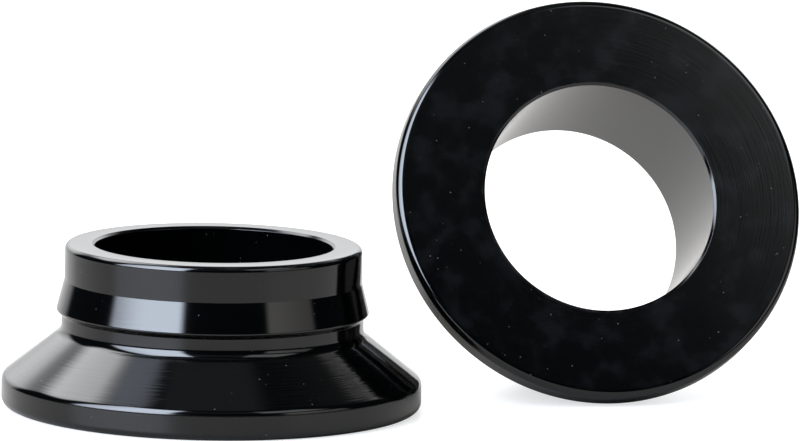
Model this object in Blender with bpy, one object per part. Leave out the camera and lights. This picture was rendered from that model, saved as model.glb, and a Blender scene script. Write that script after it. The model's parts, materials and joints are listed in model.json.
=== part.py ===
"""A pair of turned spindle adapters for a bottom bracket, one standing on its flange and one lying on its side.

Each adapter is one ring: a flange with a conical back, a neck, a tapered lip, and a nose that fits the inner
ring of a 30 mm bearing, bored right through for a 24 mm spindle. Metres, +Z up. The origin is on the ground,
in the middle of the pair's bounding box, and +X runs from the standing adapter to the lying one.
"""

import math

import bmesh
import bpy
from mathutils import Matrix, Vector

# One adapter. Heights are measured along its axis from the flange's face.
BORE_DIAMETER = 0.0240
NOSE_DIAMETER = 0.0300
LIP_DIAMETER = 0.03158
NECK_DIAMETER = 0.0305
FLANGE_DIAMETER = 0.0424
LENGTH = 0.0164
NOSE_LENGTH = 0.0036
LIP_HEIGHT = 0.00969
NECK_TOP_HEIGHT = 0.00918
FLANGE_EDGE_HEIGHT = 0.00285
CONE_ANGLE = math.radians(51.4)  # between the cone's side and the axis

# Broken edges and the fillet where the cone runs out into the neck.
BORE_CHAMFER = 0.00025
NOSE_CHAMFER = 0.00043
FACE_EDGE_RADIUS = 0.0008
FLANGE_EDGE_RADIUS = 0.0009
FILLET_RADIUS = 0.0012
LIP_RADIUS = 0.00025

# How the pair stands: from the standing adapter's axis to the centre of the lying one's flange face.
LYING_OFFSET = Vector((0.03908, 0.01179))
LYING_TURN = math.radians(12.9)

# Fineness of the solids.
SIDES = 96
ARC_STEPS = 4

# Black anodised aluminium.
ANODISED_COLOUR = (0.012, 0.012, 0.013, 1.0)
ANODISED_ROUGHNESS = 0.25
ANODISED_METALLIC = 0.0


def rounded(before, corner, after, radius):
    """The points of an arc of this radius that replaces a corner of the outline."""
    to_before = (before - corner).normalized()
    to_after = (after - corner).normalized()
    half_angle = to_before.angle(to_after) / 2
    run = radius / math.tan(half_angle)
    centre = corner + (to_before + to_after).normalized() * (radius / math.sin(half_angle))
    first = corner + to_before * run - centre
    last = corner + to_after * run - centre
    turn = first.angle_signed(last)
    arc = []
    for step in range(ARC_STEPS + 1):
        angle = -turn * step / ARC_STEPS
        arc.append(centre + Matrix.Rotation(angle, 2) @ first)
    return arc


def adapter_outline():
    """The closed half section of one adapter as (radius, height), up the outside and down the bore."""
    bore = BORE_DIAMETER / 2
    nose = NOSE_DIAMETER / 2
    lip = LIP_DIAMETER / 2
    neck = NECK_DIAMETER / 2
    flange = FLANGE_DIAMETER / 2
    cone_height = (flange - neck) / math.tan(CONE_ANGLE)

    face_inside = Vector((bore + BORE_CHAMFER, 0))
    face_edge = Vector((flange, 0))
    flange_back = Vector((flange, FLANGE_EDGE_HEIGHT))
    neck_foot = Vector((neck, FLANGE_EDGE_HEIGHT + cone_height))
    neck_top = Vector((neck, NECK_TOP_HEIGHT))
    lip_edge = Vector((lip, LIP_HEIGHT))
    nose_foot = Vector((nose, LENGTH - NOSE_LENGTH))

    outside = rounded(face_inside, face_edge, flange_back, FACE_EDGE_RADIUS)
    outside += rounded(face_edge, flange_back, neck_foot, FLANGE_EDGE_RADIUS)
    outside += rounded(flange_back, neck_foot, neck_top, FILLET_RADIUS)
    outside += [neck_top]
    outside += rounded(neck_top, lip_edge, nose_foot, LIP_RADIUS)
    outside += [nose_foot, Vector((nose, LENGTH - NOSE_CHAMFER)), Vector((nose - NOSE_CHAMFER, LENGTH))]
    inside = [
        Vector((bore + BORE_CHAMFER, LENGTH)),
        Vector((bore, LENGTH - BORE_CHAMFER)),
        Vector((bore, BORE_CHAMFER)),
        face_inside,
    ]
    return outside + inside


def adapter_mesh(outline):
    """The outline spun once round the axis, smooth round the ring and sharp at its edges."""
    ring = bmesh.new()
    corners = [ring.verts.new((point.x, 0, point.y)) for point in outline]
    edges = [ring.edges.new((corners[i - 1], corners[i])) for i in range(len(corners))]
    bmesh.ops.spin(
        ring,
        geom=corners + edges,
        cent=(0, 0, 0),
        axis=(0, 0, 1),
        angle=math.tau,
        steps=SIDES,
        use_merge=True,
    )
    bmesh.ops.recalc_face_normals(ring, faces=ring.faces)
    mesh = bpy.data.meshes.new("adapter")
    ring.to_mesh(mesh)
    ring.free()
    mesh.shade_smooth()
    mesh.set_sharp_from_angle(angle=math.radians(30))
    return mesh


def depth(outline, tilt):
    """How far an adapter, nose down by the tilt, reaches below the centre of its flange face."""
    return max(point.x * math.cos(tilt) + point.y * math.sin(tilt) for point in outline)


def resting_tilt(outline):
    """The tilt at which the flange's back edge and the nose's end edge touch the ground together."""
    flange = [point for point in outline if point.y < LENGTH / 2]
    nose = [point for point in outline if point.y > LENGTH / 2]
    low, high = 0.0, math.radians(60)
    for _ in range(60):
        middle = (low + high) / 2
        if depth(flange, middle) > depth(nose, middle):
            low = middle
        else:
            high = middle
    return middle


def placed(foot, inward):
    """The place of an adapter whose face centre is at foot, and whose axis runs inward from it to its nose."""
    level = inward.cross(Vector((0, 0, 1)))
    level = level.normalized() if level.length > 1e-6 else Vector((1, 0, 0))
    across = inward.cross(level)
    turned = Matrix((level, across, inward)).transposed().to_4x4()
    return Matrix.Translation(foot) @ turned


def reach(outline, place, direction):
    """How far an adapter reaches from the world's origin in a direction."""
    along = place.to_3x3().col[2].dot(direction)
    across = math.sqrt(max(0.0, 1 - along * along))
    furthest = max(point.x * across + point.y * along for point in outline)
    return place.translation.dot(direction) + furthest


def anodised():
    """Black anodised aluminium."""
    material = bpy.data.materials.new("black_anodised")
    material.use_nodes = True
    shader = material.node_tree.nodes["Principled BSDF"]
    shader.inputs["Base Color"].default_value = ANODISED_COLOUR
    shader.inputs["Roughness"].default_value = ANODISED_ROUGHNESS
    shader.inputs["Metallic"].default_value = ANODISED_METALLIC
    return material


for leftover in list(bpy.data.objects):
    bpy.data.objects.remove(leftover)

outline = adapter_outline()
tilt = resting_tilt(outline)
nose_down = Matrix.Rotation(LYING_TURN, 3, "Z") @ Vector((0, math.cos(tilt), -math.sin(tilt)))
standing = placed(Vector((0, 0, 0)), Vector((0, 0, 1)))
lying = placed(Vector((LYING_OFFSET.x, LYING_OFFSET.y, depth(outline, tilt))), nose_down)

middle = Vector((0, 0, 0))
for axis in range(2):
    forward = Vector((0, 0, 0))
    forward[axis] = 1
    furthest = max(reach(outline, place, forward) for place in (standing, lying))
    nearest = -max(reach(outline, place, -forward) for place in (standing, lying))
    middle[axis] = (furthest + nearest) / 2

for name, place in (("drive_side_adapter", standing), ("non_drive_side_adapter", lying)):
    adapter = bpy.data.objects.new(name, adapter_mesh(outline))
    adapter.data.materials.append(anodised())
    adapter.matrix_world = Matrix.Translation(-middle) @ place
    bpy.context.collection.objects.link(adapter)
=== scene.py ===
"""A pair of black spindle adapters for a bottom bracket, one standing on its flange and one on its side."""

import json
import math

import bpy
from mathutils import Matrix, Vector


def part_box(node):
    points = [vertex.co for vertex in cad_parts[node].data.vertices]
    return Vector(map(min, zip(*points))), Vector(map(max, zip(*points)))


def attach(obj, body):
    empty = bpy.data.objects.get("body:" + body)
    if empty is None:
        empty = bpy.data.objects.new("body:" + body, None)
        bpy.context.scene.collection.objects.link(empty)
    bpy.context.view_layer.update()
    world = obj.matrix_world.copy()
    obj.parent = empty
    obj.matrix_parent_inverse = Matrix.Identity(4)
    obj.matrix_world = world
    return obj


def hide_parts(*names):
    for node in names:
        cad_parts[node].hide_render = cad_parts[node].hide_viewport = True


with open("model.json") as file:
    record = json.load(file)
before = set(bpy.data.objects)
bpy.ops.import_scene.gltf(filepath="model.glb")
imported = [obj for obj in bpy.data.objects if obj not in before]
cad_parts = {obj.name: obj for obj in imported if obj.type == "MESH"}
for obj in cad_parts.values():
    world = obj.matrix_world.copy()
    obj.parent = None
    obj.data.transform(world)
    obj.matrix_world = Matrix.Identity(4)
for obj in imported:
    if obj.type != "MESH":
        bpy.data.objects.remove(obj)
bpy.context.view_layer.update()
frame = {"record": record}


# ---------------------------------------------------------------------------------------------------------
# The turned adapters. Each is one ring of aluminium, turned on a lathe from bar: a flange with a conical
# back, a neck, a tapered lip, and a nose that a 30 mm bearing slides on to, bored for a 24 mm spindle.
# Both are the same piece, so one outline is spun for both.
# ---------------------------------------------------------------------------------------------------------
class Flow:
    """A socket in a node tree. Arithmetic on it adds Math nodes, and node() adds any other node."""

    def __init__(self, tree, socket=None):
        self.tree = tree
        self.socket = socket

    def node(self, kind, settings=None, inputs=None, output=0):
        """A new node: its settings first, then what its sockets hold or are linked to."""
        added = self.tree.nodes.new(kind)
        for name, value in (settings or {}).items():
            setattr(added, name, value)
        for key, value in (inputs or {}).items():
            fitting = [s for s in added.inputs if s.enabled and key in (s.name, s.identifier)]
            socket = fitting[0] if fitting else added.inputs[key]
            if isinstance(value, Flow):
                self.tree.links.new(value.socket, socket)
            else:
                socket.default_value = value
        found = [s for s in added.outputs if s.enabled and output in (s.name, s.identifier)]
        if found:
            return Flow(self.tree, found[0])
        return Flow(self.tree, [s for s in added.outputs if s.enabled][output] if added.outputs else None)

    def math(self, operation, *values):
        inputs = dict(enumerate((self,) + values))
        return self.node("ShaderNodeMath", {"operation": operation}, inputs)

    def __add__(self, other):
        return self.math("ADD", other)

    def __sub__(self, other):
        return self.math("SUBTRACT", other)

    def __mul__(self, other):
        return self.math("MULTIPLY", other)

    def __truediv__(self, other):
        return self.math("DIVIDE", other)

    def __rsub__(self, other):
        return (self * -1) + other

    def __rtruediv__(self, other):
        return self.math("POWER", -1) * other

    __radd__ = __add__
    __rmul__ = __mul__

    def rising(self, low, high):
        """Nought below low and one above high, with a smooth rise between them."""
        settings = {"interpolation_type": "SMOOTHSTEP"}
        return self.node("ShaderNodeMapRange", settings, {"Value": self, "From Min": low, "From Max": high})


sizes = {
    "Bore Diameter": 0.0240,
    "Nose Diameter": 0.0300,
    "Lip Diameter": 0.03158,
    "Neck Diameter": 0.0305,
    "Flange Diameter": 0.0424,
    "Length": 0.0164,
    "Nose Length": 0.0036,
    "Lip Height": 0.00969,
    "Neck Top Height": 0.00918,
    "Flange Edge Height": 0.00285,
    "Cone Angle": math.radians(51.4),
    "Bore Chamfer": 0.00025,
    "Nose Edge Radius": 0.0006,
    "Face Edge Radius": 0.0008,
    "Flange Edge Radius": 0.0009,
    "Fillet Radius": 0.0012,
    "Lip Radius": 0.00025,
    "Broken Edge Radius": 0.00005,
}
SIDES = 400
ARC_STEPS = 8
SEAM = 0.00002  # the outline's first and last points are this far apart, inside the bore
SAME_POINT = 1e-7  # points closer than this are merged


def revolve_tree(name):
    """A tree that spins the outline of an adapter round its axis and sets it in its place."""
    tree = bpy.data.node_groups.new(name, "GeometryNodeTree")
    for size, value in sizes.items():
        socket = tree.interface.new_socket(size, in_out="INPUT", socket_type="NodeSocketFloat")
        socket.default_value = value
    for place in ("Place", "Turn"):
        tree.interface.new_socket(place, in_out="INPUT", socket_type="NodeSocketVector")
    tree.interface.new_socket("Finish", in_out="INPUT", socket_type="NodeSocketMaterial")
    tree.interface.new_socket("Adapter", in_out="OUTPUT", socket_type="NodeSocketGeometry")
    flow = Flow(tree)
    given = tree.nodes.new("NodeGroupInput")

    def size(key):
        return Flow(tree, given.outputs[key])

    bore = size("Bore Diameter") / 2
    nose = size("Nose Diameter") / 2
    lip = size("Lip Diameter") / 2
    neck = size("Neck Diameter") / 2
    flange = size("Flange Diameter") / 2
    length = size("Length")
    broken = size("Broken Edge Radius")
    cone_height = (flange - neck) / size("Cone Angle").math("TANGENT")
    corners = [
        (bore, length / 2, 0.0),
        (bore, length - size("Bore Chamfer"), broken),
        (bore + size("Bore Chamfer"), length, broken),
        (nose, length, size("Nose Edge Radius")),
        (nose, length - size("Nose Length"), broken),
        (lip, size("Lip Height"), size("Lip Radius")),
        (neck, size("Neck Top Height"), broken),
        (neck, size("Flange Edge Height") + cone_height, size("Fillet Radius")),
        (flange, size("Flange Edge Height"), size("Flange Edge Radius")),
        (flange, 0.0, size("Face Edge Radius")),
        (bore + size("Bore Chamfer"), 0.0, broken),
        (bore, size("Bore Chamfer"), broken),
        (bore, length / 2 - SEAM, 0.0),
    ]

    def by_corner(kind, values):
        """The value that belongs to each corner of the outline."""
        switch = tree.nodes.new("GeometryNodeIndexSwitch")
        switch.data_type = kind
        while len(switch.index_switch_items) < len(values):
            switch.index_switch_items.new()
        for item, value in zip(switch.inputs[1:], values):
            if isinstance(value, Flow):
                tree.links.new(value.socket, item)
            else:
                item.default_value = value
        index = flow.node("GeometryNodeInputIndex")
        tree.links.new(index.socket, switch.inputs["Index"])
        return Flow(tree, switch.outputs[0])

    places = [flow.node("ShaderNodeCombineXYZ", None, {"X": r, "Y": h}) for r, h, _ in corners]
    line = flow.node("GeometryNodeMeshLine", {"mode": "OFFSET"}, {"Count": len(corners)})
    moved = {"Geometry": line, "Position": by_corner("VECTOR", places)}
    line = flow.node("GeometryNodeSetPosition", None, moved)
    outline = flow.node("GeometryNodeMeshToCurve", None, {"Mesh": line})
    outline = flow.node("GeometryNodeSetSplineCyclic", None, {"Geometry": outline, "Cyclic": True})
    radii = by_corner("FLOAT", [radius for _, _, radius in corners])
    outline = flow.node(
        "GeometryNodeFilletCurve", {"mode": "POLY"}, {"Curve": outline, "Count": ARC_STEPS, "Radius": radii}
    )
    along = flow.node("GeometryNodeSplineParameter", output="Length")
    outline = flow.node(
        "GeometryNodeStoreNamedAttribute",
        {"data_type": "FLOAT", "domain": "POINT"},
        {"Geometry": outline, "Name": "along_outline", "Value": along},
    )

    # The sweep runs round a circle of 1 m, so the outline is first moved in by that much. The sweep also
    # turns it upside down, so it starts upside down.
    round_trip = {"Resolution": SIDES, "Radius": 1.0}
    circle = flow.node("GeometryNodeCurvePrimitiveCircle", {"mode": "RADIUS"}, round_trip)
    upside_down = {"Geometry": outline, "Translation": (-1.0, 0.0, 0.0), "Scale": (1.0, -1.0, 1.0)}
    outline = flow.node("GeometryNodeTransform", None, upside_down)
    ring = flow.node("GeometryNodeCurveToMesh", None, {"Curve": circle, "Profile Curve": outline})
    ring = flow.node("GeometryNodeMergeByDistance", None, {"Geometry": ring, "Distance": SAME_POINT})
    own_place = flow.node("GeometryNodeInputPosition")
    ring = flow.node(
        "GeometryNodeStoreNamedAttribute",
        {"data_type": "FLOAT_VECTOR", "domain": "POINT"},
        {"Geometry": ring, "Name": "own_place", "Value": own_place},
    )
    placed = {"Geometry": ring, "Translation": size("Place"), "Rotation": size("Turn")}
    ring = flow.node("GeometryNodeTransform", None, placed)
    smooth = {"Geometry": ring, "Shade Smooth": True}
    ring = flow.node("GeometryNodeSetShadeSmooth", {"domain": "FACE"}, smooth)
    ring = flow.node("GeometryNodeRealizeInstances", None, {"Geometry": ring})
    ring = flow.node("GeometryNodeSetMaterial", None, {"Geometry": ring, "Material": size("Finish")})
    flow.node("NodeGroupOutput", None, {"Adapter": ring})
    return tree


FEED_PITCH = 0.17  # millimetres that the tool moved for each turn of the lathe
FLANGE_EDGE = 21.2  # the rest of these are millimetres too: radii, then heights above the flange's face
BORE_WALL = 12.0
NECK = 15.25
CONE_FOOT = 3.3
SHARP_EDGES = ((14.82, 16.22), (15.79, 9.69), (12.25, 16.4), (12.25, 0.0))


def anodised_finish():
    """Black anodised aluminium: a dark glassy skin over turning marks, rubbed edges with a painted highlight,
    smudges and dust.
    """
    material = bpy.data.materials.new("black_anodised")
    material.use_nodes = True
    flow = Flow(material.node_tree)
    shader = material.node_tree.nodes["Principled BSDF"]
    shader.inputs["Metallic"].default_value = 0.0
    shader.inputs["IOR"].default_value = 1.55
    place = flow.node("ShaderNodeAttribute", {"attribute_name": "own_place"}, output="Vector")
    along = flow.node("ShaderNodeAttribute", {"attribute_name": "along_outline"}, output="Fac") * 1000
    level = flow.node("ShaderNodeVectorMath", {"operation": "MULTIPLY"}, {0: place, 1: (1, 1, 0)})
    outward = flow.node("ShaderNodeVectorMath", {"operation": "NORMALIZE"}, {0: level})
    east = flow.node("ShaderNodeSeparateXYZ", None, {"Vector": outward}, "X")
    north = flow.node("ShaderNodeSeparateXYZ", None, {"Vector": outward}, "Y")
    radius = flow.node("ShaderNodeVectorMath", {"operation": "LENGTH"}, {0: level}, "Value") * 1000
    rise = flow.node("ShaderNodeSeparateXYZ", None, {"Vector": place}, "Z") * 1000

    def streaks(lines_per_mm, round_the_ring, detail=2.0):
        """Fine lines that run round the ring, and fade in and out along it."""
        lines = {"X": along * lines_per_mm, "Y": east * round_the_ring, "Z": north * round_the_ring}
        vector = flow.node("ShaderNodeCombineXYZ", None, lines)
        return flow.node("ShaderNodeTexNoise", None, {"Vector": vector, "Scale": 1.0, "Detail": detail})

    flange_edge = radius.rising(FLANGE_EDGE - 0.04, FLANGE_EDGE - 0.02)
    bored = 1 - radius.rising(BORE_WALL + 0.03, BORE_WALL + 0.08)
    cone = radius.rising(NECK + 0.3, NECK + 0.9) * rise.rising(CONE_FOOT - 0.3, CONE_FOOT)
    fine = streaks(13.0, 2.4)
    coarse = streaks(4.2, 3.0, 3.0)

    # Turning marks, as heights in thousandths of a millimetre: the tool's even feed, and the streaks that
    # the brushing before anodising left.
    feed = (along * (math.pi / FEED_PITCH)).math("SINE").math("ABSOLUTE")
    height = feed * (coarse * 0.5 + flange_edge * 1.4) + fine * (flange_edge * 0.9 + cone * 2.2 + 0.6)
    height = height + coarse * (cone * 13.0 + 1.2)
    bumped = flow.node("ShaderNodeBump", None, {"Strength": 1.0, "Distance": 1e-6, "Height": height})

    # Dust: a speck in some of the cells of a fine mesh. The cloud makes the skin unevenly glossy.
    cell = {"Vector": place, "Scale": 1150.0}
    nearness = flow.node("ShaderNodeTexVoronoi", {"feature": "F1"}, cell, "Distance")
    chance = flow.node("ShaderNodeTexVoronoi", {"feature": "F1"}, cell, "Color")
    chance = flow.node("ShaderNodeSeparateXYZ", None, {"Vector": chance}, "X")
    speck = (1 - nearness.rising(0.03, 0.11)) * chance.rising(0.5, 0.95)
    cloud = flow.node("ShaderNodeTexNoise", None, {"Vector": place, "Scale": 260.0, "Detail": 3.0})

    # Fingers have left faint bluish smudges on the flange's broad face.
    smudge = flow.node("ShaderNodeTexNoise", None, {"Vector": place, "Scale": 260.0, "Detail": 6.0})
    smudged = smudge.rising(0.47, 0.66) * (1 - rise.rising(0.02, 0.06))

    # Handling has rubbed the sharp edges a little duller. Their colour is also painted a lighter grey, which
    # is a painted highlight along the edges.
    rubbed_and_highlit = flow.node("ShaderNodeValue")
    rubbed_and_highlit.socket.default_value = 0.0
    for edge_radius, edge_rise in SHARP_EDGES:
        sideways = radius - edge_radius
        upward = rise - edge_rise
        distance = (sideways * sideways + upward * upward).math("SQRT")
        rubbed_and_highlit = rubbed_and_highlit.math("MAXIMUM", 1 - distance.rising(0.03, 0.16))
    rubbed_and_highlit = rubbed_and_highlit * streaks(0.7, 9.0, 4.0).rising(0.42, 0.62)

    roughness = fine * 0.04 + cloud * 0.04 + 0.045 + flange_edge * 0.08 + bored * 0.03 + rubbed_and_highlit * 0.06
    roughness = roughness + speck * 0.4
    black = flow.node(
        "ShaderNodeMix",
        {"data_type": "RGBA"},
        {"Factor": smudged, "A": (0.0003, 0.0004, 0.0005, 1), "B": (0.0026, 0.0031, 0.0037, 1)},
    )
    # The sharp edges are painted a lighter grey here: a painted edge highlight, not bare metal.
    black = flow.node(
        "ShaderNodeMix",
        {"data_type": "RGBA"},
        {"Factor": rubbed_and_highlit * 0.5, "A": black, "B": (0.012, 0.012, 0.013, 1)},
    )
    colour = flow.node(
        "ShaderNodeMix", {"data_type": "RGBA"}, {"Factor": speck, "A": black, "B": (0.06, 0.062, 0.065, 1)}
    )
    tree = material.node_tree
    tree.links.new(colour.socket, shader.inputs["Base Color"])
    tree.links.new(roughness.socket, shader.inputs["Roughness"])
    tree.links.new(bumped.socket, shader.inputs["Normal"])
    return material


def turned_adapter(name, tree, finish, foot, inward):
    """One adapter as a plain mesh, with its flange's face centred on foot and its nose pointing inward."""
    level = inward.cross(Vector((0, 0, 1)))
    level = level.normalized() if level.length > 1e-6 else Vector((1, 0, 0))
    turned = Matrix((level, inward.cross(level), inward)).transposed()
    adapter = bpy.data.objects.new(name, bpy.data.meshes.new(name))
    bpy.context.collection.objects.link(adapter)
    spin = adapter.modifiers.new("spin", "NODES")
    spin.node_group = tree
    identifiers = {item.name: item.identifier for item in tree.interface.items_tree}
    spin[identifiers["Place"]] = tuple(foot)
    spin[identifiers["Turn"]] = tuple(turned.to_euler())
    spin[identifiers["Finish"]] = finish
    weighted = adapter.modifiers.new("flat faces stay flat", "WEIGHTED_NORMAL")
    weighted.weight = 80
    evaluated = adapter.evaluated_get(bpy.context.evaluated_depsgraph_get())
    plain = bpy.data.meshes.new_from_object(evaluated)
    adapter.modifiers.clear()
    adapter.data = plain
    plain.name = name
    return adapter


finish = anodised_finish()
spun = revolve_tree("spun adapter")

low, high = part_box("drive_side_adapter")
standing_foot = Vector(((low.x + high.x) / 2, (low.y + high.y) / 2, low.z))
standing = turned_adapter("drive_side_ring", spun, finish, standing_foot, Vector((0, 0, 1)))
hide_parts("drive_side_adapter")
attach(standing, "drive_side")

faces = {mount["name"]: Vector(mount["axis"]) for mount in frame["record"]["mounts"]}
nose_down = -faces["lying_flange_face"].normalized()
lying = turned_adapter("non_drive_side_ring", spun, finish, Vector((0, 0, 0)), nose_down)
low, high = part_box("non_drive_side_adapter")
own_low = Vector([min(v.co[i] for v in lying.data.vertices) for i in range(3)])
own_high = Vector([max(v.co[i] for v in lying.data.vertices) for i in range(3)])
lying.data.transform(Matrix.Translation((low + high) / 2 - (own_low + own_high) / 2))
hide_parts("non_drive_side_adapter")
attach(lying, "non_drive_side")


# ---------------------------------------------------------------------------------------------------------
# The floor: a plain pale board, barely glossy, far larger than the pair. The camera sees it whiter than the
# rings mirror it, as a board that is lit until it looks pure white.
# ---------------------------------------------------------------------------------------------------------
floor_mesh = bpy.data.meshes.new("floor")
half = 6.0
floor_corners = [(-half, -half, 0), (half, -half, 0), (half, half, 0), (-half, half, 0)]
floor_mesh.from_pydata(floor_corners, [], [(0, 1, 2, 3)])
floor = bpy.data.objects.new("floor", floor_mesh)
bpy.context.collection.objects.link(floor)
board = bpy.data.materials.new("pale_board")
board.use_nodes = True
board_shader = board.node_tree.nodes["Principled BSDF"]
board_shader.inputs["Base Color"].default_value = (0.32, 0.305, 0.285, 1)
board_shader.inputs["Roughness"].default_value = 0.36
board_shader.inputs["IOR"].default_value = 1.45
board_shader.inputs["Specular IOR Level"].default_value = 0.1
board_flow = Flow(board.node_tree)
seen_board = board_flow.node("ShaderNodeLightPath", output="Is Camera Ray")
whiter = {"Factor": seen_board, "A": (0, 0, 0, 1), "B": (0.66, 0.67, 0.68, 1)}
whiter = board_flow.node("ShaderNodeMix", {"data_type": "RGBA"}, whiter)
board.node_tree.links.new(whiter.socket, board_shader.inputs["Emission Color"])
board_shader.inputs["Emission Strength"].default_value = 1.0
floor_mesh.materials.append(board)


# ---------------------------------------------------------------------------------------------------------
# The studio: a bright softbox at the front left, weaker panels at the right and high at the back left, a pale
# backdrop, faint light from above, and near darkness elsewhere, so that the black skin has something to
# mirror. The camera itself sees plain white in place of them.
# ---------------------------------------------------------------------------------------------------------
world = bpy.data.worlds.new("studio")
bpy.context.scene.world = world
world.use_nodes = True
sky = Flow(world.node_tree)
direction = sky.node("ShaderNodeTexCoord", output="Generated")
toward_x = sky.node("ShaderNodeSeparateXYZ", None, {"Vector": direction}, "X")
toward_y = sky.node("ShaderNodeSeparateXYZ", None, {"Vector": direction}, "Y")
toward_z = sky.node("ShaderNodeSeparateXYZ", None, {"Vector": direction}, "Z")
azimuth = toward_x.math("ARCTAN2", toward_y * -1) * (180 / math.pi)
elevation = toward_z.math("ARCSINE") * (180 / math.pi)


def panel(across, low, high, soft, up, bottom, top, soft_up):
    """A panel of light between two bearings and two elevations, in degrees, with soft borders."""
    sideways = across.rising(low - soft, low + soft) * (1 - across.rising(high - soft, high + soft))
    upward = up.rising(bottom - soft_up, bottom + soft_up) * (1 - up.rising(top - soft_up, top + soft_up))
    return sideways * upward


behind = azimuth.math("ABSOLUTE")
cool = (0.88, 0.98, 1.14)
warm = (1.03, 1.0, 0.97)
plain = (0.99, 1.0, 1.01)
fuller_to_the_right = azimuth.rising(-82, -48) * 0.36 + 0.64
weaker_to_the_right = 1 - azimuth.rising(44, 86) * 0.45
brighter_upward = elevation.rising(0, 22) * 1.5 + 0.95
lights = [
    (panel(azimuth, -80, -22, 3.5, elevation, 12, 64, 3.5) * fuller_to_the_right, 11.9, cool),
    (panel(azimuth, 44, 83, 2.5, elevation, 11, 30, 2) * weaker_to_the_right, 1.18, warm),
    (panel(azimuth, 34.2, 80, 2.2, elevation, 38.5, 60, 2.5), 1.35, plain),
    (panel(azimuth, -30, 60, 20, elevation, 41, 60, 3.5), 0.11, plain),
    (elevation.rising(72, 79), 0.14, plain),
    (panel(behind, 120, 200, 10, elevation, 38, 76, 3), 0.05, warm),
    (panel(azimuth, 134, 141, 2, elevation, 36, 48, 3), 0.4, warm),
    (panel(azimuth, -165, -105, 8, elevation, 37.5, 58, 4.5), 5.3, plain),
    (panel(azimuth, -150, -100, 8, elevation, 60, 72, 3), 1.4, cool),
    (panel(behind, 136, 200, 6, elevation, -6, 27, 4) * brighter_upward, 1.0, plain),
    (panel(behind, 136, 200, 6, elevation, 27, 38, 4), 1.2, plain),
]
total = sky.node("ShaderNodeCombineXYZ", None, {"X": 0.017, "Y": 0.021, "Z": 0.023})
for shape, brightness, tint in lights:
    colour = tuple(brightness * part for part in tint)
    glow = sky.node("ShaderNodeCombineXYZ", None, dict(zip("XYZ", colour)))
    glow = sky.node("ShaderNodeVectorMath", {"operation": "SCALE"}, {0: glow, "Scale": shape})
    total = sky.node("ShaderNodeVectorMath", {"operation": "ADD"}, {0: total, 1: glow})
seen_directly = sky.node("ShaderNodeLightPath", output="Is Camera Ray")
shown = {"Factor": seen_directly, "A": total, "B": (0.95, 0.95, 0.95, 1)}
shown = sky.node("ShaderNodeMix", {"data_type": "RGBA"}, shown)
background = world.node_tree.nodes["Background"]
world.node_tree.links.new(shown.socket, background.inputs["Color"])


# A square lamp above the board behind the rings. It lights the board, and isn't itself mirrored in the rings.
LAMP_PLACE = Vector((0.0, 0.32, 0.42))
LAMP_TARGET = Vector((0.0, 0.2, 0.0))
lamp = bpy.data.objects.new("behind", bpy.data.lights.new("behind", "AREA"))
lamp.data.size = 0.7
lamp.data.energy = 4.7
lamp.data.color = (1.0, 0.96, 0.91)
lamp_turn = (LAMP_TARGET - LAMP_PLACE).to_track_quat("-Z", "Y").to_matrix().to_4x4()
lamp.matrix_world = Matrix.Translation(LAMP_PLACE) @ lamp_turn
lamp.visible_glossy = False
bpy.context.collection.objects.link(lamp)


# ---------------------------------------------------------------------------------------------------------
# The camera: far off with a long lens, a little above the pair and slightly out of level.
# ---------------------------------------------------------------------------------------------------------
CAMERA_PLACE = Vector((-0.00056, -0.75831, 0.13212))
CAMERA_PITCH = math.radians(8.535)
CAMERA_ROLL = math.radians(1.20)
camera = bpy.data.objects.new("camera", bpy.data.cameras.new("camera"))
camera.data.sensor_width = 36.0
camera.data.lens = 340.17
camera.data.clip_start = 0.01
look = Matrix.Rotation(math.pi / 2 - CAMERA_PITCH, 4, "X") @ Matrix.Rotation(CAMERA_ROLL, 4, "Z")
camera.matrix_world = Matrix.Translation(CAMERA_PLACE) @ look
bpy.context.collection.objects.link(camera)
bpy.context.scene.camera = camera
bpy.context.scene.view_settings.view_transform = "Standard"
